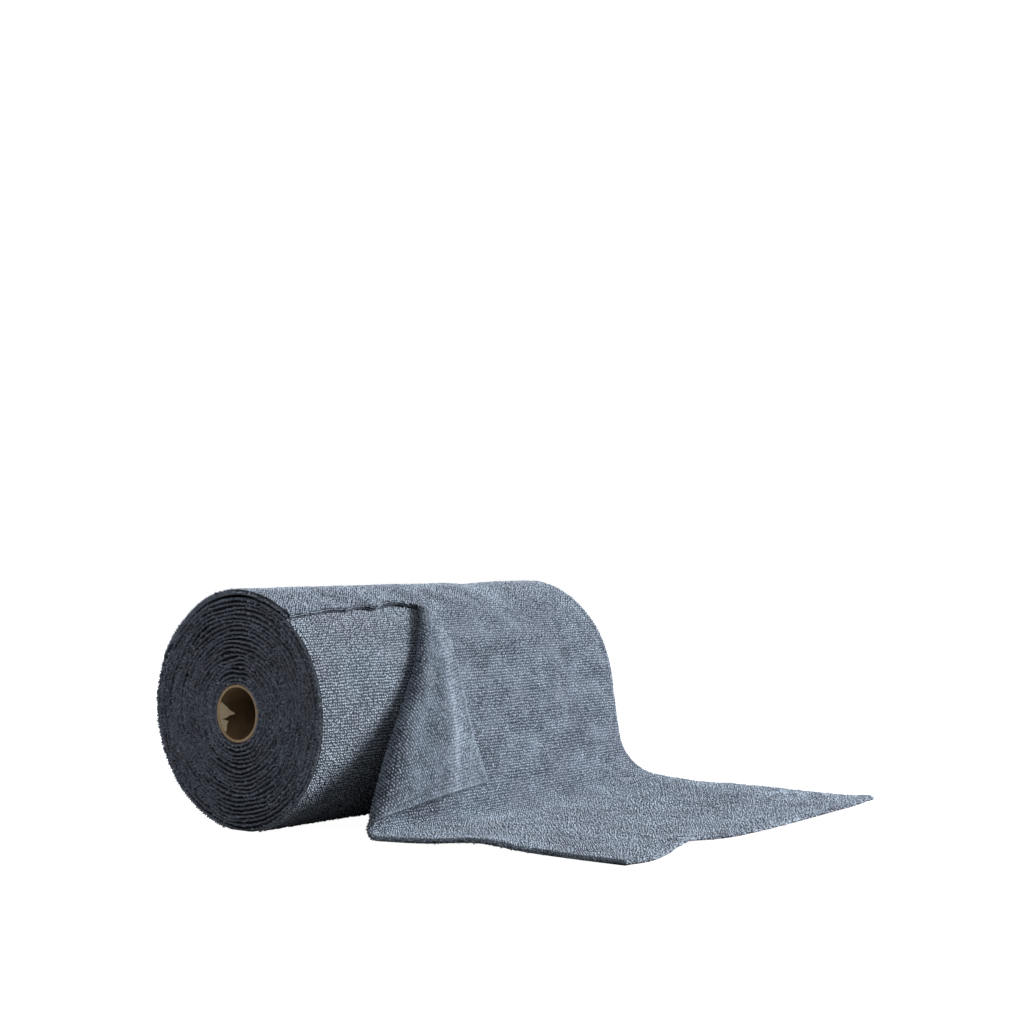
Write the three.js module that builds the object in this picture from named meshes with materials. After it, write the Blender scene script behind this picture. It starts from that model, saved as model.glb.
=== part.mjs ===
import * as THREE from 'three';
import { mergeVertices } from 'three/addons/utils/BufferGeometryUtils.js';

// Roll of microfibre towels with its loose end torn part way across and drawn out over the surface.
// Millimetres. X runs along the roll's axis, -Y is the front where the towel comes off, +Z is up.
// The origin is under the middle of the axis, in the flat spot that the roll lies on.

// Sizes of the wound roll and its paper tube
const webWidth = 305;
const axisHeight = 74.6;
const woundRadius = 76.6;
const turnPitch = 2.7;
const tubeRadius = 18.6;
const tubeWall = 1.8;
const seatGap = 0.3;
const rimRounding = 1.6;
const endUnevenness = 0.5;
const farTaper = 1.3;

// Sizes of the loose towel. Angles are measured from the front of the roll up over its top.
const clothThickness = 2.4;
const meanRadius = 77;
const towelLength = 318;
const stepAngle = 155;
const stepClearance = 0.8;
const tearAngle = 57.5;
const tearReach = 130;
const foldFoot = 146;
const layerSpacing = 3.1;

// Mesh steps
const roundSteps = 72;
const lengthSteps = 12;
const tubeSteps = 48;

// How far the wound roll has sunk in below its spiral, by the angle around it
const sunk = [
  { angle: stepAngle, inset: 0 },
  { angle: 180, inset: 0.4 },
  { angle: 215, inset: 2.4 },
  { angle: 248, inset: 2.6 },
  { angle: 272, inset: 0.4 },
  { angle: 300, inset: 0 },
  { angle: 470, inset: 0 },
  { angle: 490, inset: 1 },
  { angle: 515, inset: 0.6 },
];

// How far the middle of the loose layer lies from the axis, by the angle around the roll
const looseRadii = [
  { angle: 0, radius: 76.7 },
  { angle: 30, radius: 76.8 },
  { angle: 60, radius: 77.3 },
  { angle: 100, radius: 77.4 },
  { angle: 118, radius: 76.6 },
  { angle: 130, radius: 75.4 },
  { angle: stepAngle, radius: 75.5 },
];

// How the towel hangs off the roll, by the distance across the web from its near edge: the lean of the
// hanging part from the vertical in degrees, the radius of the bend where it meets the surface, and the
// height of the cloth's middle at the foot of that bend, a little further out, and at its leading edge
const drape = [
  { across: 0, lean: 13, bend: 9, foot: 1.5, resting: 1.5, leading: 1.5 },
  { across: 75, lean: 13, bend: 10, foot: 1.4, resting: 1.4, leading: 1.4 },
  { across: 150, lean: 11, bend: 17, foot: 1.6, resting: 1.4, leading: 1.5 },
  { across: 230, lean: 9, bend: 25, foot: 4.6, resting: 3.2, leading: 3.2 },
  { across: 305, lean: 6.5, bend: 30, foot: 12.8, resting: 9.4, leading: 6.8 },
];

// How far the towel's two long edges have moved along the roll, by the distance from the tear line
const drift = [
  { along: 0, near: 0, far: 0 },
  { along: 70, near: -1, far: 0 },
  { along: 110, near: 5, far: 3 },
  { along: 145, near: 17, far: 12 },
  { along: 190, near: 29, far: 20 },
  { along: 225, near: 40, far: 26 },
  { along: towelLength, near: 39, far: 33 },
];

// The torn edge left on the roll, as its distance past the tear line
const tornEdge = [
  { across: 0, past: 5.3 },
  { across: 22, past: 2.7 },
  { across: 42, past: 0.2 },
  { across: 56, past: 0.6 },
  { across: 75, past: -2.6 },
  { across: 85, past: 0.6 },
  { across: 93, past: -3.2 },
  { across: 108, past: -7 },
  { across: 120, past: -3.8 },
  { across: tearReach, past: 0 },
];

// The leading edge, cut a little unevenly, as its distance past the towel's length
const leadingEdge = [
  { across: 0, past: 13 },
  { across: 25, past: 15 },
  { across: 75, past: 2 },
  { across: 100, past: -3 },
  { across: 145, past: 2 },
  { across: 230, past: 0 },
  { across: 305, past: 0 },
];

// The folded corner, by the distance down its crease from the tear's tip: how far it has turned over in
// degrees, the radius of the fold, and how far the crease bows out towards the corner
const foldOver = [
  { down: 0, turned: 0, radius: 1.5, bow: 0 },
  { down: 6, turned: 50, radius: 2, bow: 0.2 },
  { down: 14, turned: 125, radius: 2.6, bow: 0.8 },
  { down: 24, turned: 180, radius: 3.1, bow: 1.2 },
  { down: 38, turned: 180, radius: 3.7, bow: 1.2 },
  { down: 60, turned: 180, radius: 5, bow: 0.5 },
  { down: 100, turned: 180, radius: 7.5, bow: 1 },
  { down: 150, turned: 180, radius: 8.5, bow: 3 },
  { down: 196, turned: 180, radius: 6, bow: 2.5 },
];

// How the corner sits once turned: drawn in towards the crease, and slid down it
const cornerDrawnIn = 0.89;
const cornerSlide = 0.12;

const radians = (degrees) => (degrees * Math.PI) / 180;
const degrees = (angle) => (angle * 180) / Math.PI;

// Rises smoothly from 0 to 1 as the value goes from low to high
function ramp(value, low, high) {
  const t = Math.min(1, Math.max(0, (value - low) / (high - low)));
  return t * t * (3 - 2 * t);
}

// A soft bump of height 1 around a middle
const bump = (value, middle, reach) => Math.exp(-(((value - middle) / reach) ** 2));

// Reads one column of a table at a key, with slopes that run on smoothly from row to row
function lookUp(table, key, column, at) {
  const last = table.length - 1;
  const x = Math.min(table[last][key], Math.max(table[0][key], at));
  let i = 0;
  while (i < last - 1 && x > table[i + 1][key]) i += 1;
  const slope = (k) => {
    if (k === 0 || k === last) return 0;
    return (table[k + 1][column] - table[k - 1][column]) / (table[k + 1][key] - table[k - 1][key]);
  };
  const width = table[i + 1][key] - table[i][key];
  const t = (x - table[i][key]) / width;
  const rise = t * t * (3 - 2 * t);
  return (
    table[i][column] * (1 - rise) +
    table[i + 1][column] * rise +
    slope(i) * width * (t ** 3 - 2 * t * t + t) +
    slope(i + 1) * width * (t ** 3 - t * t)
  );
}

// Makes a closed body of triangles given by their corner points, merging corners that coincide
function bodyOf(triangles) {
  const geometry = new THREE.BufferGeometry();
  geometry.setAttribute('position', new THREE.Float32BufferAttribute(triangles.flat(2), 3));
  const merged = mergeVertices(geometry, 1e-3);
  const index = Array.from(merged.index.array);
  const kept = [];
  for (let k = 0; k < index.length; k += 3) {
    const [a, b, c] = index.slice(k, k + 3);
    if (a !== b && b !== c && c !== a) kept.push(a, b, c);
  }
  merged.setIndex(kept);
  merged.computeVertexNormals();
  return merged;
}

// A body swept around closed rings of points, ring after ring and back to the first
function bodyOfRings(rings) {
  const triangles = [];
  rings.forEach((ring, r) => {
    const next = rings[(r + 1) % rings.length];
    ring.forEach((point, k) => {
      const m = (k + 1) % ring.length;
      triangles.push([point, ring[m], next[m]], [point, next[m], next[k]]);
    });
  });
  return bodyOf(triangles);
}

// The wound web. Its spiral starts at the step and loses one turn's pitch on the way round.
function woundRoll() {
  const boreRadius = tubeRadius + seatGap;
  const spiral = (turn) => woundRadius - (turnPitch * turn) / 360;
  // Points of a ring: the spiral drawn in by some millimetres, or a share of the way in to the bore
  const ring = (x, drawnIn, share) => {
    const points = [];
    for (let k = 0; k <= roundSteps; k += 1) {
      const turn = Math.min((360 * k) / roundSteps, 359.6);
      const angle = radians(stepAngle + turn);
      const inset = lookUp(sunk, 'angle', 'inset', stepAngle + turn);
      const soft = 0.2 * Math.sin(3 * angle + x / 40) * (1 - share);
      const taper = farTaper * ramp(x, 20, 100) * ramp(Math.sin(angle), -0.5, 0.2);
      const outer = spiral(turn) - inset - taper - drawnIn + soft;
      const radius = outer + (boreRadius - outer) * share;
      const z = axisHeight + radius * Math.sin(angle);
      points.push([x, -radius * Math.cos(angle), share < 1 ? Math.max(0, z) : z]);
    }
    return points;
  };
  const half = webWidth / 2;
  const rings = [];
  for (let k = 0; k <= lengthSteps; k += 1) {
    const x = -half + rimRounding + ((webWidth - 2 * rimRounding) * k) / lengthSteps;
    rings.push(ring(x, 0, 0));
  }
  // The far end face, its layers standing a little in and out, then back through the bore
  const faceShares = [0, 0.25, 0.5, 0.75];
  const standing = (k) => endUnevenness * (k % 2 ? 1 : -0.4);
  faceShares.forEach((share, k) => rings.push(ring(half - standing(k) - 0.4, rimRounding, share)));
  rings.push(ring(half, 0, 1));
  rings.push(ring(-half, 0, 1));
  faceShares
    .map((share, k) => ring(-half + standing(k) + 0.4, rimRounding, share))
    .reverse()
    .forEach((points) => rings.push(points));
  return bodyOfRings(rings.reverse());
}

// The paper tube, flush with the web's ends
function coreTube() {
  const half = webWidth / 2;
  const bore = tubeRadius - tubeWall;
  const profile = [
    [-half, bore],
    [-half, tubeRadius],
    [half, tubeRadius],
    [half, bore],
  ];
  const rings = profile.map(([x, radius]) => {
    const points = [];
    for (let k = 0; k < tubeSteps; k += 1) {
      const angle = (2 * Math.PI * k) / tubeSteps;
      points.push([x, radius * Math.cos(angle), axisHeight + radius * Math.sin(angle)]);
    }
    return points;
  });
  return bodyOfRings(rings);
}

// The middle of the loose layer on the roll. It hugs the roll in a shallow dip and stands off beyond it.
function looseRadius(across, angle) {
  const overTop = ramp(angle, 35, 65) * (1 - ramp(angle, 110, 130));
  const dip = -1.4 * bump(across, 230, 16);
  const snug = -farTaper * ramp(across, 200, 270) * (1 - ramp(angle, 40, 80));
  return lookUp(looseRadii, 'angle', 'radius', angle) + dip * overTop + snug;
}

// Height of the small waves in the cloth that lies on the surface
function ruffle(across, along) {
  const leadingWave = 2.6 * bump(across, 82, 26) * ramp(along, 285, towelLength);
  const nearEdgeWave = 2.4 * bump(along, 222, 26) * (1 - ramp(across, 0, 34));
  const cornerCurl = 1.6 * ramp(across, 280, webWidth) * ramp(along, 295, towelLength);
  const swell = 1.5 * bump(across, 215, 45) * bump(along, 205, 28);
  return leadingWave + nearEdgeWave + cornerCurl + swell;
}

// A point in the middle of the cloth before its corner folds: over the roll, down its front, and out
function draped(across, along) {
  const lean = radians(lookUp(drape, 'across', 'lean', across));
  const share = across / webWidth;
  const moved =
    lookUp(drift, 'along', 'near', along) * (1 - share) + lookUp(drift, 'along', 'far', along) * share;
  const x = across - webWidth / 2 + moved;
  const angle = radians(tearAngle) - along / meanRadius;
  if (angle > lean) {
    const radius = looseRadius(across, degrees(angle));
    return new THREE.Vector3(x, -radius * Math.cos(angle), axisHeight + radius * Math.sin(angle));
  }
  const radius = looseRadius(across, degrees(lean));
  const bend = lookUp(drape, 'across', 'bend', across);
  const foot = lookUp(drape, 'across', 'foot', across);
  const resting = lookUp(drape, 'across', 'resting', across);
  const leading = lookUp(drape, 'across', 'leading', across);
  const leaveY = -radius * Math.cos(lean);
  const leaveZ = axisHeight + radius * Math.sin(lean);
  const past = along - (radians(tearAngle) - lean) * meanRadius;
  const straight = (leaveZ - foot - bend * (1 - Math.sin(lean))) / Math.cos(lean);
  // The hanging part swells out softly in the middle of its height
  const hang = Math.min(1, past / straight);
  const swell = 1.6 * Math.sin(Math.PI * hang) * bump(across, 236, 38);
  if (past < straight) {
    return new THREE.Vector3(
      x,
      leaveY - past * Math.sin(lean) - swell,
      leaveZ - past * Math.cos(lean),
    );
  }
  const footY = leaveY - straight * Math.sin(lean);
  const footZ = foot + bend * (1 - Math.sin(lean));
  const turned = lean + (past - straight) / bend;
  if (turned < Math.PI / 2) {
    const y = footY - bend * (Math.cos(lean) - Math.cos(turned));
    return new THREE.Vector3(x, y, footZ - bend * (Math.sin(turned) - Math.sin(lean)));
  }
  const run = past - straight - bend * (Math.PI / 2 - lean);
  const settled = (resting - foot) * ramp(along, 145, 195);
  const level = foot + settled + (leading - resting) * ramp(along, 200, towelLength);
  return new THREE.Vector3(x, footY - bend * Math.cos(lean) - run, level + ruffle(across, along));
}

// The cloth's outward direction at a point of the draped sheet
function outward(across, along) {
  const step = 1.5;
  const sideways = draped(across + step, along).sub(draped(across - step, along));
  const down = draped(across, along + step).sub(draped(across, along - step));
  return down.cross(sideways).normalize();
}

// Where a point of the torn corner lies, in distances down the fold and away from it
const foldLength = Math.hypot(tearReach, foldFoot);
const foldAcross = -tearReach / foldLength;
const foldAlong = foldFoot / foldLength;
const awayAcross = foldAlong;
const awayAlong = -foldAcross;

// How far the turned corner stands off the cloth beneath: most along its crest, least at its edges
function standOff(down, beyond, radius) {
  const crest = 0.8 * bump(beyond, 20, 16) * ramp(down, 25, 90);
  const width = Math.min(75, 6 + 0.8 * down);
  const closing = ramp(beyond, 0.05 * width, width);
  return 2 * radius + crest - (2 * radius - layerSpacing) * closing;
}

// A point in the middle of the cloth with its corner folded over
function middle(across, along) {
  const fromTipAcross = across - tearReach;
  const down = fromTipAcross * foldAcross + along * foldAlong;
  const bow = lookUp(foldOver, 'down', 'bow', down);
  const away = fromTipAcross * awayAcross + along * awayAlong + bow;
  const radius = lookUp(foldOver, 'down', 'radius', down);
  const turned = radians(lookUp(foldOver, 'down', 'turned', down));
  const half = (radius * turned) / 2;
  if (down <= 0 || away >= half) {
    return draped(across, along);
  }
  let inward = half - radius * Math.sin((half - away) / radius);
  let off = radius * (1 - Math.cos((half - away) / radius));
  let downTo = down;
  if (away < -half) {
    const beyond = (-away - half) * cornerDrawnIn;
    inward = half - radius * Math.sin(turned) - beyond * Math.cos(turned);
    const lifted = radius * (1 - Math.cos(turned)) + beyond * Math.sin(turned);
    const overlaid = standOff(down, beyond, radius);
    const flat = ramp(degrees(turned), 60, 160);
    off = lifted * (1 - flat) + overlaid * flat;
    downTo = down + cornerSlide * beyond;
  }
  const onAcross = tearReach + downTo * foldAcross + (inward - bow) * awayAcross;
  const onAlong = downTo * foldAlong + (inward - bow) * awayAlong;
  return draped(onAcross, onAlong).addScaledVector(outward(onAcross, onAlong), off);
}

// Distances across the web at which the sheet's mesh has its columns, closer where it folds
function columns() {
  const found = [];
  for (let k = 0; k <= 18; k += 1) found.push((tearReach * k) / 18);
  for (let k = 1; k <= 14; k += 1) found.push(tearReach + ((webWidth - tearReach) * k) / 14);
  return found;
}

// Distances from the tear line at which a column has its rows: the turned corner, its fold and the rest
function rowsBelow(across) {
  const cornerRows = 8;
  const foldRows = 8;
  const restRows = 24;
  const foldAt = Math.max(0, foldFoot * (1 - across / tearReach));
  const halfFold = Math.min(16, 0.6 * foldAt);
  const found = [];
  for (let k = 0; k < cornerRows; k += 1) found.push(((foldAt - halfFold) * k) / cornerRows);
  for (let k = 0; k < foldRows; k += 1) found.push(foldAt - halfFold + (2 * halfFold * k) / foldRows);
  const start = foldAt + halfFold;
  const end = towelLength + lookUp(leadingEdge, 'across', 'past', across);
  for (let k = 0; k <= restRows; k += 1) found.push(start + (end - start) * (k / restRows));
  return found;
}

function rowsAbove(across) {
  const count = 16;
  const start = radians(tearAngle - stepAngle + stepClearance) * meanRadius;
  const torn = across < tearReach ? lookUp(tornEdge, 'across', 'past', across) : 0;
  const found = [];
  for (let k = 0; k <= count; k += 1) found.push(start + ((torn - start) * k) / count);
  return found;
}

// The sheet: a grid over the roll and a grid below the tear line, joined right of the tear's tip
function looseTowel() {
  const points = [];
  const faces = [];
  const across = columns();
  const addGrid = (rowsOf, place) => {
    const ids = across.map((u) => rowsOf(u).map((s) => points.push(place(u, s)) - 1));
    for (let i = 0; i + 1 < ids.length; i += 1) {
      for (let j = 0; j + 1 < ids[i].length; j += 1) {
        const [a, b, c, d] = [ids[i][j], ids[i + 1][j], ids[i + 1][j + 1], ids[i][j + 1]];
        faces.push([a, c, b], [a, d, c]);
      }
    }
    return ids;
  };
  const above = addGrid(rowsAbove, draped);
  const below = addGrid(rowsBelow, middle);
  // Points that coincide in the unfolded sheet become one
  const same = points.map((_, k) => k);
  across.forEach((u, i) => {
    if (u < tearReach - 1e-6) return;
    const lastAbove = above[i][above[i].length - 1];
    below[i].forEach((id, j) => {
      if (rowsBelow(u)[j] < 1e-6) same[id] = lastAbove;
    });
  });
  const triangles = faces
    .map((face) => face.map((id) => same[id]))
    .filter(([a, b, c]) => a !== b && b !== c && c !== a);
  return thickened(points, triangles);
}

// Gives a sheet of triangles its thickness, with a wall along every open edge
function thickened(points, triangles) {
  const normals = points.map(() => new THREE.Vector3());
  const edges = new Map();
  triangles.forEach(([a, b, c]) => {
    const one = points[b].clone().sub(points[a]);
    const other = points[c].clone().sub(points[a]);
    const normal = one.cross(other);
    [a, b, c].forEach((id) => normals[id].add(normal));
    [[a, b], [b, c], [c, a]].forEach(([from, to]) => edges.set(`${from},${to}`, [from, to]));
  });
  const side = (id, sign) =>
    points[id].clone().addScaledVector(normals[id].clone().normalize(), (sign * clothThickness) / 2);
  const upper = points.map((_, id) => side(id, 1).toArray());
  const lower = points.map((_, id) => side(id, -1).toArray());
  const shell = [];
  triangles.forEach(([a, b, c]) => {
    shell.push([upper[a], upper[b], upper[c]], [lower[a], lower[c], lower[b]]);
  });
  edges.forEach(([from, to]) => {
    if (edges.has(`${to},${from}`)) return;
    shell.push([upper[from], lower[from], lower[to]], [upper[from], lower[to], upper[to]]);
  });
  return bodyOf(shell);
}

function piece(name, geometry, colour, roughness) {
  const material = new THREE.MeshStandardMaterial({ color: colour, roughness, metalness: 0 });
  const mesh = new THREE.Mesh(geometry, material);
  mesh.name = name;
  return mesh;
}

const towelRoll = new THREE.Group();
towelRoll.add(piece('wound_roll', woundRoll(), '#7f8996', 0.95));
towelRoll.add(piece('core_tube', coreTube(), '#a98a67', 0.85));
towelRoll.add(piece('loose_towel', looseTowel(), '#8a94a1', 0.95));

export default towelRoll;
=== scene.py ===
"""A roll of terry microfibre towels on a paper tube, its loose end torn part way and run out flat."""

import math

import bpy
import numpy as np
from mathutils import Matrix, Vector, noise


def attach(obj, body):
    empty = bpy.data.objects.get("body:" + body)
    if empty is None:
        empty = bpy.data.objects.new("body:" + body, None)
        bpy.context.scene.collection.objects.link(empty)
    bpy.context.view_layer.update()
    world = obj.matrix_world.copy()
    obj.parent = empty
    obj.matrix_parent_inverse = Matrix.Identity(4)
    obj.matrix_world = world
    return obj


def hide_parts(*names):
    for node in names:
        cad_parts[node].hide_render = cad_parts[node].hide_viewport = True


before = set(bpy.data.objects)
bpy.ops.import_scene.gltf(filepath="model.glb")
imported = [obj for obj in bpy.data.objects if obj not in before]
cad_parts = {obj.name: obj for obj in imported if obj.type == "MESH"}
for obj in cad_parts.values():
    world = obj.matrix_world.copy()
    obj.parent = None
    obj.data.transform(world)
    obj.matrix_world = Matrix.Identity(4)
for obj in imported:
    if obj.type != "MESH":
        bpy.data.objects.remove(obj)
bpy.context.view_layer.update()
scene = bpy.context.scene

MM = 0.001

# Sizes in millimetres. X runs along the roll, -Y is the front where the towel comes off.
WEB_WIDTH = 305.0
AXIS_HEIGHT = 74.6
WOUND_RADIUS = 76.6
TURN_PITCH = 2.7
TUBE_RADIUS = 18.6
TUBE_WALL = 1.8
BORE_RADIUS = TUBE_RADIUS + 0.25
FAR_TAPER = 1.3
CLOTH_THICKNESS = 2.4
TOWEL_LENGTH = 318.0
STEP_ANGLE = 155.0
STEP_CLEARANCE = 0.8
TEAR_ANGLE = 57.5
TEAR_REACH = 130.0
FOLD_FOOT = 146.0

# How far the loose cloth's middle lies from the roll's axis, where that is taken as even
MEAN_RADIUS = 77.0

# The turned corner lies this far off the cloth beneath. This share of its width is left, and it slides down
# its fold by this share.
LAYER_SPACING = 3.1
CORNER_DRAWN_IN = 0.89
CORNER_SLIDE = 0.12

# The knit: one loop of the terry is this wide across the web and this tall along it
LOOP_ACROSS = 2.05
LOOP_ALONG = 1.95

# Where a faint groove runs beside the selvedge, across the web
SELVEDGE = 299.0

# The turned corner's soft crest runs from the tear's tip to this place on its near edge, this high at most
CREST_FOOT = 64.0
CREST_HEIGHT = 6.0


def table(columns, *rows):
    """A small table, as one array for each named column."""
    return {name: np.array([row[i] for row in rows], float) for i, name in enumerate(columns.split())}


# How far the wound roll has sunk in below its spiral, by the angle around it
SUNK = table(
    "angle inset",
    (155, 0),
    (180, 0.4),
    (215, 2.4),
    (248, 2.6),
    (272, 0.4),
    (300, 0),
    (470, 0),
    (490, 1),
    (515, 0.6),
)

# How far the middle of the loose layer lies from the axis, by the angle around the roll
LOOSE_RADII = table(
    "angle radius",
    (0, 76.7),
    (30, 76.8),
    (60, 77.3),
    (100, 77.4),
    (118, 76.6),
    (130, 75.4),
    (155, 75.5),
)

# How the towel hangs off the roll, by the distance across the web: its lean from the vertical, the radius
# of its bend onto the surface, and the height of its middle at the foot of that bend, a little further out,
# and at its leading edge
DRAPE = table(
    "across lean bend foot resting leading",
    (0, 13, 9, 1.5, 1.5, 1.5),
    (75, 13, 10, 1.4, 1.4, 1.4),
    (150, 11, 17, 1.6, 1.4, 1.5),
    (230, 9, 25, 4.6, 3.2, 3.2),
    (305, 6.5, 30, 12.8, 9.4, 6.8),
)

# How far the towel's two long edges have moved along the roll, by the distance from the tear line
DRIFT = table(
    "along near far",
    (0, 0, 0),
    (70, -1, 0),
    (110, 5, 3),
    (145, 17, 12),
    (190, 29, 20),
    (225, 40, 26),
    (318, 39, 33),
)

# The torn edge left on the roll and the leading edge, as their distances past a straight line
TORN_EDGE = table(
    "across past",
    (0, 5.3),
    (22, 2.7),
    (42, 0.2),
    (56, 0.6),
    (75, -2.6),
    (85, 0.6),
    (93, -3.2),
    (108, -7),
    (120, -3.8),
    (130, 0),
)
LEADING_EDGE = table(
    "across past",
    (0, 13),
    (25, 15),
    (75, 2),
    (100, -3),
    (145, 2),
    (230, 0),
    (305, 0),
)

# The folded corner, by the distance down its crease from the tear's tip: how far it has turned over, the
# radius of the fold, and how far the crease bows out towards the corner
FOLD_OVER = table(
    "down turned radius bow",
    (0, 0, 1.5, 0),
    (3, 80, 1.6, 0.1),
    (7, 150, 1.9, 0.3),
    (12, 180, 2.3, 0.6),
    (24, 180, 3.1, 1.2),
    (38, 180, 3.7, 1.2),
    (60, 180, 5, 0.5),
    (100, 180, 7.5, 1),
    (150, 180, 8.5, 3),
    (196, 180, 6, 2.5),
)


def ramp(value, low, high):
    """Rises smoothly from 0 to 1 as the value goes from low to high."""
    t = np.clip((value - low) / (high - low), 0, 1)
    return t * t * (3 - 2 * t)


def bump(value, middle, reach):
    """A soft bump of height 1 around a middle."""
    return np.exp(-(((value - middle) / reach) ** 2))


def look_up(rows, column, at):
    """A table's column at a value of its first one, with slopes that run on smoothly from row to row."""
    keys, values = next(iter(rows.values())), rows[column]
    slopes = np.zeros(len(keys))
    slopes[1:-1] = (values[2:] - values[:-2]) / (keys[2:] - keys[:-2])
    x = np.clip(at, keys[0], keys[-1])
    i = np.clip(np.searchsorted(keys, x, side="left") - 1, 0, len(keys) - 2)
    width = keys[i + 1] - keys[i]
    t = (x - keys[i]) / width
    rise = t * t * (3 - 2 * t)
    ends = values[i] * (1 - rise) + values[i + 1] * rise
    return ends + width * (slopes[i] * (t**3 - 2 * t * t + t) + slopes[i + 1] * (t**3 - t * t))


# The loose towel's form. "across" is the distance over the web from its near edge and "along" the distance
# from the tear line towards the leading edge, both in the flat cloth.


def loose_radius(across, angle):
    """The loose layer's middle on the roll. It hugs the roll in a shallow dip and stands off beyond it."""
    over_top = ramp(angle, 35, 65) * (1 - ramp(angle, 110, 130))
    dip = -1.4 * bump(across, 230, 16)
    snug = -FAR_TAPER * ramp(across, 200, 270) * (1 - ramp(angle, 40, 80))
    return look_up(LOOSE_RADII, "radius", angle) + dip * over_top + snug


def ruffle(across, along):
    """Height of the small waves in the cloth that lies on the surface."""
    leading_wave = 2.6 * bump(across, 82, 26) * ramp(along, 285, TOWEL_LENGTH)
    near_wave = 2.4 * bump(along, 222, 26) * (1 - ramp(across, 0, 34))
    corner_curl = 1.6 * ramp(across, 280, WEB_WIDTH) * ramp(along, 295, TOWEL_LENGTH)
    swell = 1.5 * bump(across, 215, 45) * bump(along, 205, 28)
    return leading_wave + near_wave + corner_curl + swell


def draped(across, along):
    """Points in the middle of the cloth before its corner folds: over the roll, down, and out."""
    lean = np.radians(look_up(DRAPE, "lean", across))
    share = across / WEB_WIDTH
    near = look_up(DRIFT, "near", along)
    far = look_up(DRIFT, "far", along)
    x = across - WEB_WIDTH / 2 + near * (1 - share) + far * share
    angle = math.radians(TEAR_ANGLE) - along / MEAN_RADIUS

    on_roll = loose_radius(across, np.degrees(angle))
    roll_y = -on_roll * np.cos(angle)
    roll_z = AXIS_HEIGHT + on_roll * np.sin(angle)

    leaving = loose_radius(across, np.degrees(lean))
    bend = look_up(DRAPE, "bend", across)
    foot = look_up(DRAPE, "foot", across)
    resting = look_up(DRAPE, "resting", across)
    leading = look_up(DRAPE, "leading", across)
    leave_y = -leaving * np.cos(lean)
    leave_z = AXIS_HEIGHT + leaving * np.sin(lean)
    past = along - (math.radians(TEAR_ANGLE) - lean) * MEAN_RADIUS
    straight = (leave_z - foot - bend * (1 - np.sin(lean))) / np.cos(lean)
    hang = np.clip(past / straight, 0, 1)
    swell = 1.6 * np.sin(math.pi * hang) * bump(across, 236, 38)
    hang_y = leave_y - past * np.sin(lean) - swell
    hang_z = leave_z - past * np.cos(lean)

    foot_y = leave_y - straight * np.sin(lean)
    foot_z = foot + bend * (1 - np.sin(lean))
    turned = lean + (past - straight) / bend
    bend_y = foot_y - bend * (np.cos(lean) - np.cos(turned))
    bend_z = foot_z - bend * (np.sin(turned) - np.sin(lean))

    run = past - straight - bend * (math.pi / 2 - lean)
    run_y = foot_y - bend * np.cos(lean) - run
    settled = (resting - foot) * ramp(along, 145, 195)
    level = foot + settled + (leading - resting) * ramp(along, 200, TOWEL_LENGTH)
    run_z = level + ruffle(across, along)

    where = [angle > lean, past < straight, turned < math.pi / 2]
    y = np.select(where, [roll_y, hang_y, bend_y], run_y)
    z = np.select(where, [roll_z, hang_z, bend_z], run_z)
    return np.stack([x + 0 * y, y, z], axis=-1)


def outward(across, along, step=1.5):
    """The cloth's outward direction at points of the draped sheet."""
    sideways = draped(across + step, along) - draped(across - step, along)
    down = draped(across, along + step) - draped(across, along - step)
    normal = np.cross(down, sideways)
    return normal / np.linalg.norm(normal, axis=-1, keepdims=True)


FOLD_LENGTH = math.hypot(TEAR_REACH, FOLD_FOOT)
FOLD_ACROSS = -TEAR_REACH / FOLD_LENGTH
FOLD_ALONG = FOLD_FOOT / FOLD_LENGTH
AWAY_ACROSS = FOLD_ALONG
AWAY_ALONG = -FOLD_ACROSS


def stand_off(down, beyond, radius):
    """How far the turned corner stands off the cloth beneath: most on its crest, least at its edges."""
    crest = 0.8 * bump(beyond, 20, 16) * ramp(down, 25, 90)
    width = np.minimum(75, 6 + 0.8 * np.maximum(down, 0))
    closing = ramp(beyond, 0.05 * width, width)
    return 2 * radius + crest - (2 * radius - LAYER_SPACING) * closing


def crest_height(across, along, down, beyond):
    """The turned corner's crest. It rises slowly from the fold and falls quickly to the torn edge."""
    crest_at = CREST_FOOT * (1 - across / TEAR_REACH)
    still_to_go = AWAY_ALONG * np.maximum(along - crest_at, 0)
    risen = beyond / (beyond + still_to_go + 1e-6)
    shape = np.where(along > crest_at, ramp(risen, 0, 1), bump(along, crest_at, 6 + 0.1 * down))
    return CREST_HEIGHT * shape * (0.5 + 0.5 * ramp(across, 0, 30)) * ramp(down, 15, 110)


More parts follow.
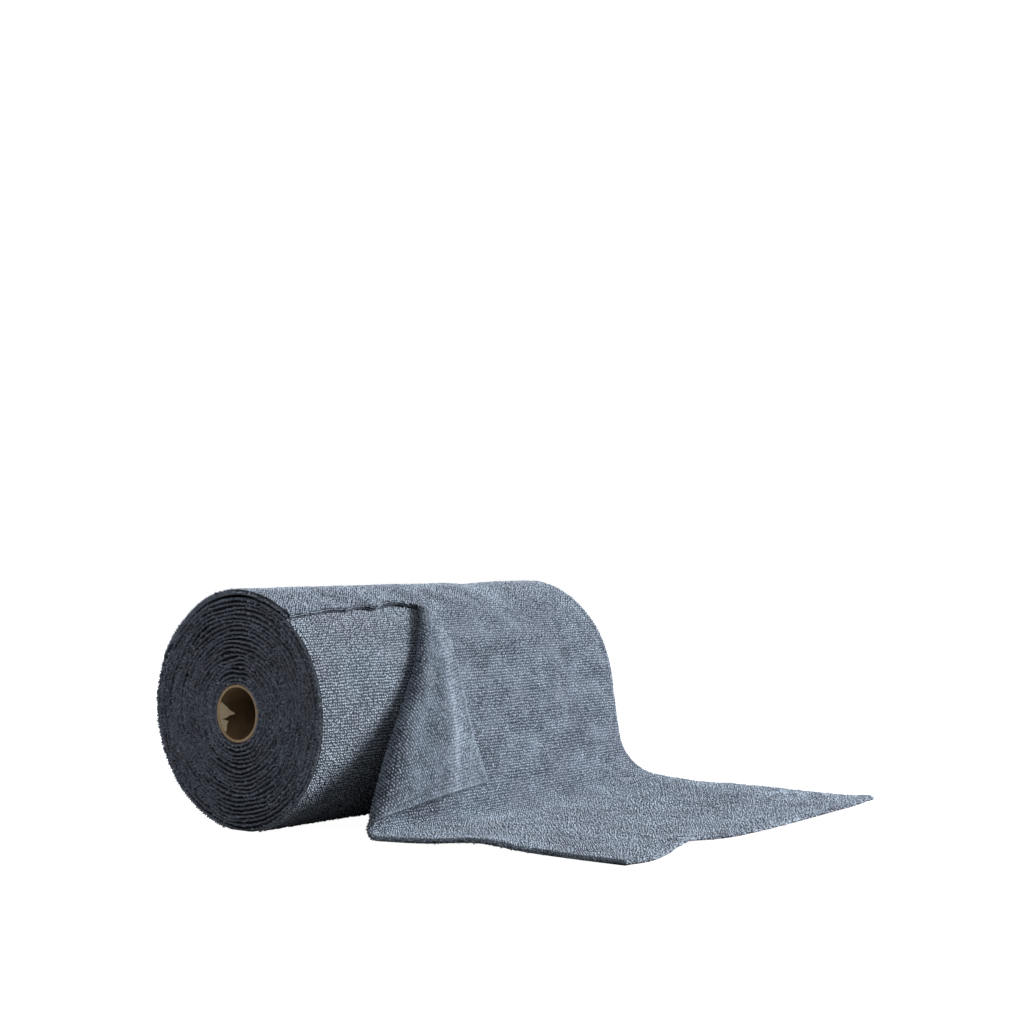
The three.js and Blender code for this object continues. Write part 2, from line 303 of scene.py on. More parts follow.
def folded(across, along):
    """Points in the middle of the cloth with its torn corner turned over."""
    from_tip = across - TEAR_REACH
    down = from_tip * FOLD_ACROSS + along * FOLD_ALONG
    bow = look_up(FOLD_OVER, "bow", down)
    away = from_tip * AWAY_ACROSS + along * AWAY_ALONG + bow
    radius = look_up(FOLD_OVER, "radius", down)
    turned = np.radians(look_up(FOLD_OVER, "turned", down))
    half = radius * turned / 2
    lies_flat = (down <= 0) | (away >= half)

    in_fold = np.clip((half - away) / radius, 0, turned)
    inward = half - radius * np.sin(in_fold)
    off = radius * (1 - np.cos(in_fold))
    beyond = np.maximum(-away - half, 0) * CORNER_DRAWN_IN
    turned_over = away < -half
    inward = np.where(turned_over, half - radius * np.sin(turned) - beyond * np.cos(turned), inward)
    lifted = radius * (1 - np.cos(turned)) + beyond * np.sin(turned)
    flat = ramp(np.degrees(turned), 60, 160)
    standing = stand_off(down, beyond, radius) + crest_height(across, along, down, beyond)
    laid = lifted * (1 - flat) + standing * flat
    off = np.where(turned_over, laid, off)
    down_to = down + np.where(turned_over, CORNER_SLIDE * beyond, 0)

    on_across = TEAR_REACH + down_to * FOLD_ACROSS + (inward - bow) * AWAY_ACROSS
    on_along = down_to * FOLD_ALONG + (inward - bow) * AWAY_ALONG
    turned_point = draped(on_across, on_along) + outward(on_across, on_along) * off[..., None]
    return np.where(lies_flat[..., None], draped(across, along), turned_point)


def noise_at(x, y, seed):
    """Smooth noise from about -1 to 1 at the points of a flat pattern."""
    x, y, seed = np.broadcast_arrays(x, y, seed)
    found = [noise.noise(Vector(point)) for point in zip(x.ravel(), y.ravel(), seed.ravel())]
    return np.array(found).reshape(x.shape)


def unit(vectors):
    """The same directions at length 1."""
    return vectors / (np.linalg.norm(vectors, axis=-1, keepdims=True) + 1e-12)


def placed(name, data):
    """A new object in the scene."""
    made = bpy.data.objects.new(name, data)
    scene.collection.objects.link(made)
    return made


def add_attribute(mesh, name, values):
    """Stores a number or a vector for each point of a mesh."""
    values = np.asarray(values, float)
    vector = values.ndim > 1
    layer = mesh.attributes.new(name, "FLOAT_VECTOR" if vector else "FLOAT", "POINT")
    layer.data.foreach_set("vector" if vector else "value", values.ravel())


def mesh_piece(name, points, faces, flats=None, finishes=None):
    """A smooth object from points in millimetres, its place in its mesh. Its "flat" attribute is each
    point's place in the flat cloth, in metres."""
    mesh = bpy.data.meshes.new(name)
    mesh.from_pydata((np.asarray(points, float) * MM).tolist(), [], faces)
    if flats is not None:
        flat = np.zeros((len(points), 3))
        flat[:, :2] = np.asarray(flats, float) * MM
        add_attribute(mesh, "flat", flat)
    if finishes is not None:
        mesh.polygons.foreach_set("material_index", finishes)
    mesh.polygons.foreach_set("use_smooth", [True] * len(mesh.polygons))
    return placed(name, mesh)


def grid_faces(rows, wide, first=0):
    """The four-sided faces of a grid of points that are numbered row by row."""
    starts = (first + i * wide + k for i in range(rows - 1) for k in range(wide - 1))
    return [(a, a + 1, a + wide + 1, a + wide) for a in starts]


def renumbered(faces, same):
    """Joins the points that are the same. Gives the faces that are left, the points that they use, and which
    of the faces they are."""
    joined = [tuple(dict.fromkeys(int(same[point]) for point in face)) for face in faces]
    kept = [k for k, face in enumerate(joined) if len(face) > 2]
    used = sorted({point for k in kept for point in joined[k]})
    number = {point: k for k, point in enumerate(used)}
    return [tuple(number[point] for point in joined[k]) for k in kept], used, kept


def spaced(start, end, steps):
    """Evenly spaced values from start up to, but without, the end."""
    return [start + (end - start) * k / steps for k in range(steps)]


# The loose towel. It starts here, behind the top. Up to END_EDGE its long edges belong to the roll's ends.
TOP_START = math.radians(TEAR_ANGLE - STEP_ANGLE + STEP_CLEARANCE) * MEAN_RADIUS
END_EDGE = -48.0

# The torn edge on the roll stands up by this lip. Each torn edge has its own jags and finer frayed ends.
LIP_HEIGHT = 0.8
JAG_LENGTH = 4.5
FRAY_LENGTH = 1.7
TEAR_JAGS = 3.1
CORNER_JAGS = 6.4

# The sheet's columns up to the tear's tip and past it, and its rows above the tear line, down to the fold,
# over it, and beyond it
TORN_COLUMNS = 54
WHOLE_COLUMNS = 70
ROWS_ABOVE = 56
ROWS_TO_FOLD = 36
ROWS_OVER_FOLD = 30
ROWS_BEYOND = 110

# How light the cloth is painted, from 0, painted shade deep in its pile and on an edge's hidden half, to 1,
# painted light on its ridges, and how round its cut edge is
GROUND_PAINTED_LIGHT = 0.1
SHOWN_PAINTED_LIGHT = 0.55
HIDDEN_PAINTED_LIGHT = 0.05
EDGE_PAINTED_LIGHT = 0.35
EDGE_ROUNDING = 0.3


def jags(across, seed):
    """The small jags of a torn edge, which die out at the tear's tip."""
    calm = ramp(TEAR_REACH - across, 0, 14)
    slow = noise_at(across / JAG_LENGTH, 0, seed)
    return calm * (slow + 0.5 * noise_at(across / FRAY_LENGTH, 0, seed + 5))


def torn_past(across):
    """How far the torn edge on the roll lies past the tear line."""
    past = look_up(TORN_EDGE, "past", across) + jags(across, TEAR_JAGS)
    return np.where(across < TEAR_REACH - 0.01, past, 0.0)


def leading_end(across):
    """Where the towel's leading edge lies."""
    past = look_up(LEADING_EDGE, "past", across)
    return TOWEL_LENGTH + past + 0.35 * noise_at(across / 5, 2, 5.5)


def torn_lip(across, along):
    """The towel on the roll, its torn edge standing up a little from the turn beneath."""
    curl = LIP_HEIGHT * ramp(along, -9, 1) * (1 - ramp(across, 100, 127))
    return draped(across, along) + outward(across, along) * curl[..., None]


def rows_above(across):
    """Distances from the tear line of the points that a column has on top of the roll."""
    end = float(torn_past(across))
    return spaced(TOP_START, end, ROWS_ABOVE) + [end]


def rows_below(across):
    """The same below the tear line: the turned corner, its fold, and the rest."""
    fold_at = max(0.0, FOLD_FOOT * (1 - across / TEAR_REACH))
    half_fold = min(20.0, 0.6 * fold_at)
    first = min(float(jags(across, CORNER_JAGS)) if fold_at else 0.0, fold_at - half_fold)
    end = float(leading_end(across))
    found = spaced(first, fold_at - half_fold, ROWS_TO_FOLD)
    found += spaced(fold_at - half_fold, fold_at + half_fold, ROWS_OVER_FOLD)
    found += spaced(fold_at + half_fold, end, ROWS_BEYOND)
    return found + [end]


def softness(flats):
    """How much thicker the pile lies here and there, with a groove beside the selvedge, the crease that runs
    on from the turned corner where the towel bends out, and a dimple at the end of it."""
    across, along = flats[..., 0], flats[..., 1]
    uneven = 0.35 + 0.35 * noise_at(across / 24, along / 24, 1.7)
    reach = ramp(across, 108, 128) * (1 - ramp(across, 150, 232))
    crease = reach * (bump(along, 121.5, 5) - 1.8 * bump(along, 129.5, 2.8))
    dimple = 1.4 * bump(np.hypot((across - 281) / 2, along - 146), 0, 3.5)
    return uneven + crease - dimple - 0.2 * bump(across, SELVEDGE, 2.2)


def towel_sheet():
    """The loose towel as one closed sheet, its pattern laid out as in the flat cloth."""
    columns = spaced(0, TEAR_REACH, TORN_COLUMNS)
    columns += spaced(TEAR_REACH, WEB_WIDTH, WHOLE_COLUMNS) + [WEB_WIDTH]
    above = np.array([[(u, s) for s in rows_above(u)] for u in columns])
    below = np.array([[(u, s) for s in rows_below(u)] for u in columns])
    flats = np.concatenate([above.reshape(-1, 2), below.reshape(-1, 2)])
    lipped = torn_lip(above[..., 0], above[..., 1])
    hanging = folded(below[..., 0], below[..., 1])
    middles = np.concatenate([lipped.reshape(-1, 3), hanging.reshape(-1, 3)])
    first_below = above.shape[0] * above.shape[1]
    quads = grid_faces(*above.shape[:2]) + grid_faces(*below.shape[:2], first_below)
    # Right of the tear's tip the rows below start on the last row above
    same = np.arange(len(flats))
    for i, across in enumerate(columns):
        if across < TEAR_REACH - 0.01:
            continue
        last_above = i * above.shape[1] + above.shape[1] - 1
        for j in range(below.shape[1]):
            if below[i, j, 1] < 1e-6:
                same[first_below + i * below.shape[1] + j] = last_above
    faces, used, _ = renumbered(quads, same)
    return thickened(middles[used], flats[used], faces)


def thickened(middles, flats, faces):
    """Closes a sheet of faces into one of the cloth's thickness, with a rounded cut edge."""
    normals = np.zeros_like(middles)
    edges = {}
    for face in faces:
        corners = middles[list(face)]
        spokes = corners[1:] - corners[0]
        normal = np.cross(spokes[:-1], spokes[1:]).sum(axis=0)
        for k, point in enumerate(face):
            normals[point] += normal
            edges[(point, face[(k + 1) % len(face)])] = True
    normals = unit(normals)
    lie = middles + normals * softness(flats)[:, None]
    upper = lie + normals * CLOTH_THICKNESS / 2
    lower = middles - normals * CLOTH_THICKNESS / 2
    count = len(middles)
    points = [*upper, *lower]
    rim_flats = []
    shell = list(faces)
    shell += [tuple(count + point for point in reversed(face)) for face in faces]
    open_edges = [edge for edge in edges if (edge[1], edge[0]) not in edges]
    # The middle of the cut edge stands out a little, which makes it round
    leaving = {}
    for start, end in open_edges:
        out = unit(np.cross(middles[end] - middles[start], normals[start]))
        for point in (start, end):
            leaving[point] = leaving.get(point, 0) + out
    rim = {}
    for point, out in leaving.items():
        rim[point] = len(points)
        points.append(middles[point] + EDGE_ROUNDING * unit(out))
        rim_flats.append(flats[point])
    for start, end in open_edges:
        shell.append((start, rim[start], rim[end], end))
        shell.append((rim[start], count + start, count + end, rim[end]))
    # On the roll its long edges and its torn edge are cut edges like the wound layers beside them, in the
    # cut terry whose painted shade gives the torn edge its dark line. Elsewhere the half of an edge that
    # faces what lies beneath is painted dark as shade.
    across, along = flats[:, 0], flats[:, 1]
    on_end = (along < END_EDGE) & ((across < 0.5) | (across > WEB_WIDTH - 0.5))
    torn = (across < TEAR_REACH - 1) & (np.abs(along - torn_past(across)) < 0.001)
    on_end |= torn
    turned_over = fold_distance(across, along) < 0
    finishes = [0] * (2 * len(faces))
    for start, end in open_edges:
        if on_end[start] and on_end[end]:
            finishes += [1, 1]
        elif turned_over[start] and turned_over[end]:
            finishes += [1, 0]
        else:
            finishes += [0, 1]
    piece = mesh_piece("towel_sheet", points, shell, [*flats, *flats, *rim_flats], finishes)
    lifts = np.full(len(points), GROUND_PAINTED_LIGHT)
    for point, middle in rim.items():
        hidden, shown = (point, count + point) if turned_over[point] else (count + point, point)
        lifts[hidden] = HIDDEN_PAINTED_LIGHT
        lifts[shown] = SHOWN_PAINTED_LIGHT
        lifts[middle] = HIDDEN_PAINTED_LIGHT if torn[point] else EDGE_PAINTED_LIGHT
    add_attribute(piece.data, "lift", lifts)
    return piece


# The wound web. "turn" counts the turns inwards from the step, and may have a fraction.

TURNS = (WOUND_RADIUS - BORE_RADIUS) / TURN_PITCH

# Points around each turn, and the width of the outer turn's rounded rims
STATIONS = 144
RIM = 1.5

# The outer turn stops this far round, just short of the step
OUTER_TURN = 0.9989

# Three points over each layer's edge: their shares of the way through it, how far they are set back, and
# how light they are painted: painted shade on the flanks, painted light on the crown
END_SHARES = (0.27, 0.5, 0.74)
END_SET_BACK = (0.8, 0.0, 0.9)
END_PAINTED_LIGHT = (0.22, 0.8, 0.16)


def spiral_radius(turn, x):
    """The wound web's outer surface after some turns."""
    angle = STEP_ANGLE + 360 * turn
    plain = WOUND_RADIUS - TURN_PITCH * turn
    depth = ramp(plain, BORE_RADIUS, WOUND_RADIUS)
    inset = look_up(SUNK, "inset", STEP_ANGLE + 360 * np.mod(turn, 1))
    taper = FAR_TAPER * ramp(x, 20, 100) * ramp(np.sin(np.radians(angle)), -0.5, 0.2)
    return np.maximum(BORE_RADIUS, plain - depth * (inset + taper))


def wound_point(x, radius, turn):
    """A point at a radius and a turn of the web, no lower than the flat spot."""
    angle = np.radians(STEP_ANGLE + 360 * turn)
    z = np.maximum(AXIS_HEIGHT + radius * np.sin(angle), 0)
    return np.stack(np.broadcast_arrays(x, -radius * np.cos(angle), z), axis=-1)


def run_along(turn):
    """Distance run along the web in some turns."""
    return 2 * math.pi * (WOUND_RADIUS * turn - TURN_PITCH * turn**2 / 2)


def end_point(turn, share, proud, side):
    """A point on an end of the roll, a share of the way through a layer that sways a little, but not beside
    the tube or at the outer turns."""
    x = side * WEB_WIDTH / 2
    outer = spiral_radius(turn, x)
    radius = outer + (spiral_radius(turn + 1, x) - outer) * share
    angle = np.radians(360 * turn)
    sway = noise_at(2.4 * np.cos(angle) + 5 * side, 2.4 * np.sin(angle), 0.33 * turn)
    free = ramp(radius, BORE_RADIUS + 1, BORE_RADIUS + 9)
    free = free * (1 - ramp(radius, WOUND_RADIUS - 9, WOUND_RADIUS - 3))
    return wound_point(x + side * proud, np.maximum(BORE_RADIUS, radius + 1.7 * sway * free), turn)


def crown_height(turn, side):
    """How far a layer's edge stands out: slow along the web, with small bumps."""
    length = run_along(turn)
    slow = noise_at(length / 34, 0.9 * turn, 11.0 + side)
    return -0.35 + 0.85 * slow + 0.3 * noise_at(length / 3.1, 1.7 * turn, 4.0 + side)


def gap_depth(turn, side):
    """How deep the gap inside a layer is: open in places, pressed shut in others."""
    depth = -3.0 + 3.6 * noise_at(run_along(turn) / 60, 1.7 * turn, 21.0 + side)
    return np.minimum(depth, -1.4)


def wound_web():
    """The wound web: its outer turn, both ends with every layer's edge, and its bore."""
    half = WEB_WIDTH / 2
    columns = np.linspace(-half + RIM, half - RIM, 61)
    turns = np.minimum(np.arange(STATIONS + 1) / STATIONS, OUTER_TURN)
    grid_turns, grid_x = np.meshgrid(turns, columns, indexing="ij")
    skin = wound_point(grid_x, spiral_radius(grid_turns, grid_x), grid_turns).reshape(-1, 3)
    starts_at = -MEAN_RADIUS * math.radians(STEP_ANGLE - TEAR_ANGLE)
    points = list(skin)
    flats = list(zip((grid_x + half).ravel(), (starts_at - run_along(grid_turns)).ravel()))
    # The outer turn's skin, beneath its loops, is painted as shade
    lifts = [0.0] * len(points)
    wide = len(columns)
    faces = grid_faces(STATIONS + 1, wide)
    last_row = STATIONS * wide
    for k in range(wide - 1):
        faces.append((last_row + k, last_row + k + 1, k + 1, k))
    skin_faces = len(faces)

    # Each station of an end has its layer's outer gap, three points over its edge, and its inner gap
    last = math.ceil(TURNS * STATIONS)
    bores = []
    for side, edge in ((-1, 0), (1, wide - 1)):
        turn = np.arange(last + 1) / STATIONS
        crown = crown_height(turn, side)
        rings = [
            end_point(turn, share, crown - back, side) for share, back in zip(END_SHARES, END_SET_BACK)
        ]
        rings.append(end_point(turn, 1.0, gap_depth(turn, side), side))
        starts = []
        # The inner gap gets 0, which paints it near black as shade
        for ring, lift in zip(rings, (*END_PAINTED_LIGHT, 0.0)):
            starts.append(len(points))
            points.extend(ring)
            flats.extend(zip(run_along(turn), [WEB_WIDTH + lift] * (last + 1)))
            lifts.extend([lift] * (last + 1))
        inner = [starts[3] + i for i in range(last + 1)]
        inner[0] = last_row + edge
        inner[last] = inner[last - STATIONS]
        outer = [i * wide + edge for i in range(STATIONS)] + inner
        rows = [[outer[i], *(start + i for start in starts[:3]), inner[i]] for i in range(last)]
        rows.append([inner[last]] * 5)
        found = []
        for i in range(last):
            for k in range(4):
                found.append((rows[i][k], rows[i][k + 1], rows[i + 1][k + 1], rows[i + 1][k]))
        found.append(tuple(reversed(rows[0])))
        faces += [face if side > 0 else tuple(reversed(face)) for face in found]
        bores.append(inner[last - STATIONS :])
    near, far = bores
    for i in range(STATIONS):
        faces.append((near[i], near[i + 1], far[i + 1], far[i]))
    faces, used, kept = renumbered(faces, range(len(points)))
    piece = mesh_piece(
        "wound_web",
        [points[point] for point in used],
        faces,
        [flats[point] for point in used],
        [0 if k < skin_faces else 1 for k in kept],
    )
    add_attribute(piece.data, "lift", [lifts[point] for point in used])
    return piece


# Nodes


def node(tree, kind, settings=None, **links):
    """Adds a node. Settings set its properties and sockets, and links join its sockets to outputs, or to a
    node's first output. A socket goes by its name or number, with an underscore before a link's number."""
    made = tree.nodes.new(kind)
    for key, value in (settings or {}).items():
        if isinstance(key, int) or key in made.inputs:
            made.inputs[key].default_value = value
        else:
            setattr(made, key, value)
    for key, source in links.items():
        socket = int(key[1:]) if key[0] == "_" else key.replace("_", " ")
        output = source.outputs[0] if isinstance(source, bpy.types.Node) else source
        tree.links.new(output, made.inputs[socket])
    return made


def linear(hex_colour):
    """An sRGB hex colour as Blender's linear colour."""
    channels = [int(hex_colour[k : k + 2], 16) / 255 for k in (1, 3, 5)]
    return (*(c / 12.92 if c <= 0.04045 else ((c + 0.055) / 1.055) ** 2.4 for c in channels), 1.0)


def new_material(name):
    """An empty material and its nodes."""
    material = bpy.data.materials.new(name)
    material.use_nodes = True
    material.node_tree.nodes.clear()
    return material, material.node_tree


# The pile: loops that Geometry Nodes stand on the cloth


def loop_shape():
    """One loop of pile, a ridge along its course that narrows to its root, at unit size."""
    points = [(-0.5, 0, 1), (0.5, 0, 1), (0, -0.5, -0.4), (0, 0.5, -0.4)]
    mesh = bpy.data.meshes.new("pile_loop")
    mesh.from_pydata(points, [], [(0, 2, 1), (0, 1, 3), (0, 3, 2), (1, 2, 3)])
    # Its ridge is painted light and its root is painted shade
    add_attribute(mesh, "lift", [1.0, 1.0, 0.0, 0.0])
    mesh.polygons.foreach_set("use_smooth", [True] * 4)
    return bpy.data.objects.new("pile_loop", mesh)


def pile_tree():
    """Stands a loop on every point, along its course and facing out, each a little different."""
    tree = bpy.data.node_groups.new("terry pile", "GeometryNodeTree")
    inputs = {"Geometry": "Geometry", "Loop": "Object"}
    inputs.update(dict.fromkeys(("Across", "Along", "Height", "Unevenness", "Twist"), "Float"))
    inputs.update({"Seed": "Int", "Material": "Material"})
    for name, kind in inputs.items():
        tree.interface.new_socket(name, in_out="INPUT", socket_type="NodeSocket" + kind)
    tree.interface.new_socket("Geometry", in_out="OUTPUT", socket_type="NodeSocketGeometry")
    given = node(tree, "NodeGroupInput").outputs
    named = "GeometryNodeInputNamedAttribute"
    facing = node(tree, named, {"data_type": "FLOAT_VECTOR", "Name": "facing"})
    course = node(tree, named, {"data_type": "FLOAT_VECTOR", "Name": "course"})
    size = node(tree, named, {"data_type": "FLOAT", "Name": "size"})
    axes = {"primary_axis": "Z", "secondary_axis": "X"}
    stand = node(tree, "FunctionNodeAxesToRotation", axes, _0=facing, _1=course)
    least_twist = node(tree, "ShaderNodeMath", {"operation": "MULTIPLY", 1: -1.0}, _0=given["Twist"])
    chance, seed = "FunctionNodeRandomValue", given["Seed"]
    twist = node(tree, chance, {"data_type": "FLOAT"}, _2=least_twist, _3=given["Twist"], Seed=seed)
    turn = node(tree, "FunctionNodeAxisAngleToRotation", {"Axis": (0, 0, 1)}, Angle=twist.outputs[1])
    turned = node(tree, "FunctionNodeRotateRotation", {"rotation_space": "LOCAL"}, _0=stand, _1=turn)
    least = node(tree, "ShaderNodeMath", {"operation": "SUBTRACT", 0: 1.0}, _1=given["Unevenness"])
    most = node(tree, "ShaderNodeMath", {"operation": "ADD", 0: 1.0}, _1=given["Unevenness"])
    varied = node(tree, chance, {"data_type": "FLOAT_VECTOR"}, _0=least, _1=most, Seed=seed)
    sizes = node(tree, "ShaderNodeCombineXYZ", X=given["Across"], Y=given["Along"], Z=given["Height"])
    uneven = node(tree, "ShaderNodeVectorMath", {"operation": "MULTIPLY"}, _0=sizes, _1=varied)
    scaled = node(tree, "ShaderNodeVectorMath", {"operation": "SCALE"}, _0=uneven, Scale=size)
    loop = node(tree, "GeometryNodeObjectInfo", Object=given["Loop"])
    stood = node(
        tree,
        "GeometryNodeInstanceOnPoints",
        Points=given["Geometry"],
        Instance=loop.outputs["Geometry"],
        Rotation=turned,
        Scale=scaled,
    )
    real = node(tree, "GeometryNodeRealizeInstances", Geometry=stood)
    dressed = node(tree, "GeometryNodeSetMaterial", Geometry=real, Material=given["Material"])
    node(tree, "NodeGroupOutput", Geometry=dressed)
    return tree


# No loop's place lies lower than this on the towel, on the roll's outer turn, or on its ends
LOWEST_SPOT = 1.25
LOWEST_ON_TURN = 1.6
LOWEST_ON_END = 1.4


def grow_pile(name, spots, sizes, material):
    """One piece of pile. Spots have a place, the way they face, their course, flat place and size."""
    place, facing, course, flat, size = (np.concatenate(column) for column in zip(*spots))
    place[:, 2] = np.maximum(place[:, 2], LOWEST_SPOT)
    mesh = bpy.data.meshes.new(name)
    mesh.from_pydata((place * MM).tolist(), [], [])
    add_attribute(mesh, "facing", facing)
    add_attribute(mesh, "course", course)
    add_attribute(mesh, "size", size)
    add_attribute(mesh, "flat", np.column_stack([flat * MM, np.zeros(len(flat))]))
    spot_object = placed(name + "_spots", mesh)
    modifier = spot_object.modifiers.new("pile", "NODES")
    modifier.node_group = PILE_TREE
    given = dict(sizes, Loop=PILE_LOOP, Material=material)
    for item in PILE_TREE.interface.items_tree:
        if item.in_out == "INPUT" and item.name in given:
            modifier[item.identifier] = given[item.name]
    graph = bpy.context.evaluated_depsgraph_get()
    grown = bpy.data.meshes.new_from_object(spot_object.evaluated_get(graph))
    bpy.data.objects.remove(spot_object)
    for spare in ("facing", "course", "size"):
        if spare in grown.attributes:
            grown.attributes.remove(grown.attributes[spare])
    return placed(name, grown)


def lattice(first, last, pitch):
    """Places one pitch apart from first to last, half a pitch in from both."""
    count = max(1, round((last - first) / pitch))
    return first + (last - first) * (np.arange(count) + 0.5) / count


def strayed(places_across, places_along, rng):
    """The knit's places across and along, moved a little at random, and slowly to and fro."""
    across, along = np.meshgrid(places_across, places_along, indexing="ij")
    sway = 0.9 * noise_at(across / 45, along / 45, 31.0)
    jitter = rng.normal(0, (0.25, 0.2), (*across.shape, 2))
    return (across + sway + jitter[..., 0]).ravel(), (along + 0.8 * sway + jitter[..., 1]).ravel()


def only(shown, *columns):
    """The spots that show."""
    return tuple(column[shown] for column in columns)


def on_sheet(place, across, along, side, lift):
    """Spots on one side of the sheet, with the way they face and their course."""
    step = 0.6
    sideways = place(across + step, along) - place(across - step, along)
    down = place(across, along + step) - place(across, along - step)
    normal = unit(np.cross(down, sideways)) * side
    spot = place(across, along) + normal * (CLOTH_THICKNESS / 2 + lift)[..., None]
    return spot, normal, unit(sideways)


def fold_distance(across, along):
    """How far a place lies past the start of the corner's fold, negative on the turned corner."""
    down = (across - TEAR_REACH) * FOLD_ACROSS + along * FOLD_ALONG
    away = (across - TEAR_REACH) * AWAY_ACROSS + along * AWAY_ALONG
    half = look_up(FOLD_OVER, "radius", down) * math.pi / 2
    past = away + look_up(FOLD_OVER, "bow", down) - half
    return np.where(down > 0, past, 1.0)


def towel_spots():
    """Every loop of the towel: its upper side, the turned corner's outer side, and its frayed edges."""
    rng = np.random.default_rng(7)
    spots = []
    for above in (True, False):
        first, last = (TOP_START, 8.0) if above else (0.0, TOWEL_LENGTH + 16)
        across, along = strayed(lattice(0, WEB_WIDTH, LOOP_ACROSS), lattice(first, last, LOOP_ALONG), rng)
        across = np.clip(across, 0.3, WEB_WIDTH - 0.3)
        end = torn_past(across) if above else leading_end(across)
        start = TOP_START if above else np.where(across < TEAR_REACH, jags(across, CORNER_JAGS), 0.0)
        inside = (along > start + 0.2) & (along < end - 0.2)
        across, along = across[inside], along[inside]
        place = torn_lip if above else folded
        past_fold = np.ones(len(across)) if above else fold_distance(across, along)
        for side, shown in ((1, past_fold > -3), (-1, past_fold < 1)):
            u, s = across[shown], along[shown]
            lift = softness(np.stack([u, s], axis=-1)) if side > 0 else np.zeros(len(u))
            spot, facing, course = on_sheet(place, u, s, side, lift - 0.1)
            spots.append((spot, facing, course, np.column_stack([u, s]), np.ones(len(u))))
    spots += towel_edges(rng)
    return spots


def edge_spots(place, across, along, out, lowest, highest, size, rng):
    """Tufts that stand out of an edge, between two shares of its thickness, from -1 to 1."""
    out_across, out_along = out
    inward = place(across - 0.8 * out_across, along - 0.8 * out_along)
    edge = place(across, along)
    out = unit(edge - inward)
    beside = place(across + out_along, along + out_across) - place(across - out_along, along - out_across)
    beside = unit(beside)
    normal = unit(np.cross(out, beside))
    spread = rng.uniform(lowest, highest, (len(across), 1))
    facing = unit(out + normal * spread + beside * rng.normal(0, 0.35, (len(across), 1)))
    spot = edge + normal * spread * 1.1 + out * (0.75 - 0.5 * spread**2)
    sizes = size * rng.uniform(0.5, 1.2, len(across))
    return spot, facing, beside, np.column_stack([across, along]), sizes


def towel_edges(rng):
    """Tufts along the towel's torn and cut edges."""
    pitch = 0.6
    near = lattice(0, TEAR_REACH - 9, pitch)
    wide = lattice(0, WEB_WIDTH, pitch)
    top = lattice(TOP_START, 0, pitch)
    nearest = lattice(END_EDGE, float(torn_past(0.0)) - 0.5, pitch)
    corner = lattice(0, FOLD_FOOT - 6, pitch)
    low = lattice(FOLD_FOOT - 6, TOWEL_LENGTH, pitch)
    far = lattice(0, TOWEL_LENGTH, pitch)
    # The cloth's form, the places across and along, the way out, the shares of the thickness, and the size
    runs = (
        (torn_lip, near, torn_past(near), (0, 1), 0.7, 1, 0.5),
        (folded, near, jags(near, CORNER_JAGS), (0, -1), -1, -0.1, 0.8),
        (draped, wide, np.full(len(wide), TOP_START), (0, -1), -1, 1, 0.8),
        (folded, wide, leading_end(wide), (0, 1), -0.4, 1, 1.0),
        (folded, np.zeros(len(corner)), corner, (-1, 0), -1, -0.1, 0.8),
        (folded, np.zeros(len(low)), low, (-1, 0), -0.8, 1, 0.9),
        (torn_lip, np.zeros(len(nearest)), nearest, (-1, 0), -0.4, 1, 0.8),
        (draped, np.full(len(top), WEB_WIDTH), top, (1, 0), -1, 1, 0.7),
        (folded, np.full(len(far), WEB_WIDTH), far, (1, 0), -1, 1, 0.7),
    )
    return [edge_spots(*run, rng) for run in runs]


def around_roll(turn):
    """The directions out of the roll and around it, at turns of its web."""
    angle = np.radians((STEP_ANGLE + 360 * turn) % 360)
    outwards = np.stack([0 * angle, -np.cos(angle), np.sin(angle)], axis=-1)
    return outwards, np.stack([0 * angle, np.sin(angle), np.cos(angle)], axis=-1)


def wound_spots():
    """The loops that show on the wound web's outer turn, and the fuzz along its two rims."""
    rng = np.random.default_rng(19)
    half = WEB_WIDTH / 2
    length = float(run_along(1.0))
    across, run = strayed(lattice(0, WEB_WIDTH, LOOP_ACROSS), lattice(0, length, LOOP_ALONG), rng)
    across = np.clip(across, 1.0, WEB_WIDTH - 1.0)
    turn = np.clip(run / length, 0, 0.998)
    # The loose layer lies over the top, and right of the tear over the front too
    angle = (STEP_ANGLE + 360 * turn) % 360
    covered_from = np.where(across > TEAR_REACH + 6, -20, TEAR_ANGLE + 3)
    covered = (angle > covered_from) & (angle < STEP_ANGLE - 3)
    covered |= (across > TEAR_REACH + 6) & (angle > 340)
    x = across - half
    spot = wound_point(x, spiral_radius(turn, x) - 0.1, turn)
    shown = ~covered & (spot[:, 2] > LOWEST_ON_TURN)
    facing, _ = around_roll(turn)
    course = np.tile((1.0, 0.0, 0.0), (len(x), 1))
    flat = np.column_stack([across, -run])
    spots = [only(shown, spot, facing, course, flat, np.ones(len(x)))]
    for side in (-1, 1):
        turn = lattice(0, 0.998, 1.0 / length)
        spot = wound_point(side * (half - 0.8), spiral_radius(turn, side * half) - 0.7, turn)
        outwards, around = around_roll(turn)
        facing = unit(outwards * rng.uniform(0, 0.7, (len(turn), 1)) + (side, 0, 0))
        shown = spot[:, 2] > LOWEST_ON_TURN
        flat = np.column_stack([run_along(turn), np.full(len(turn), WEB_WIDTH)])
        size = rng.uniform(0.35, 0.65, len(turn))
        spots.append(only(shown, spot, facing, around, flat, size))
    return spots


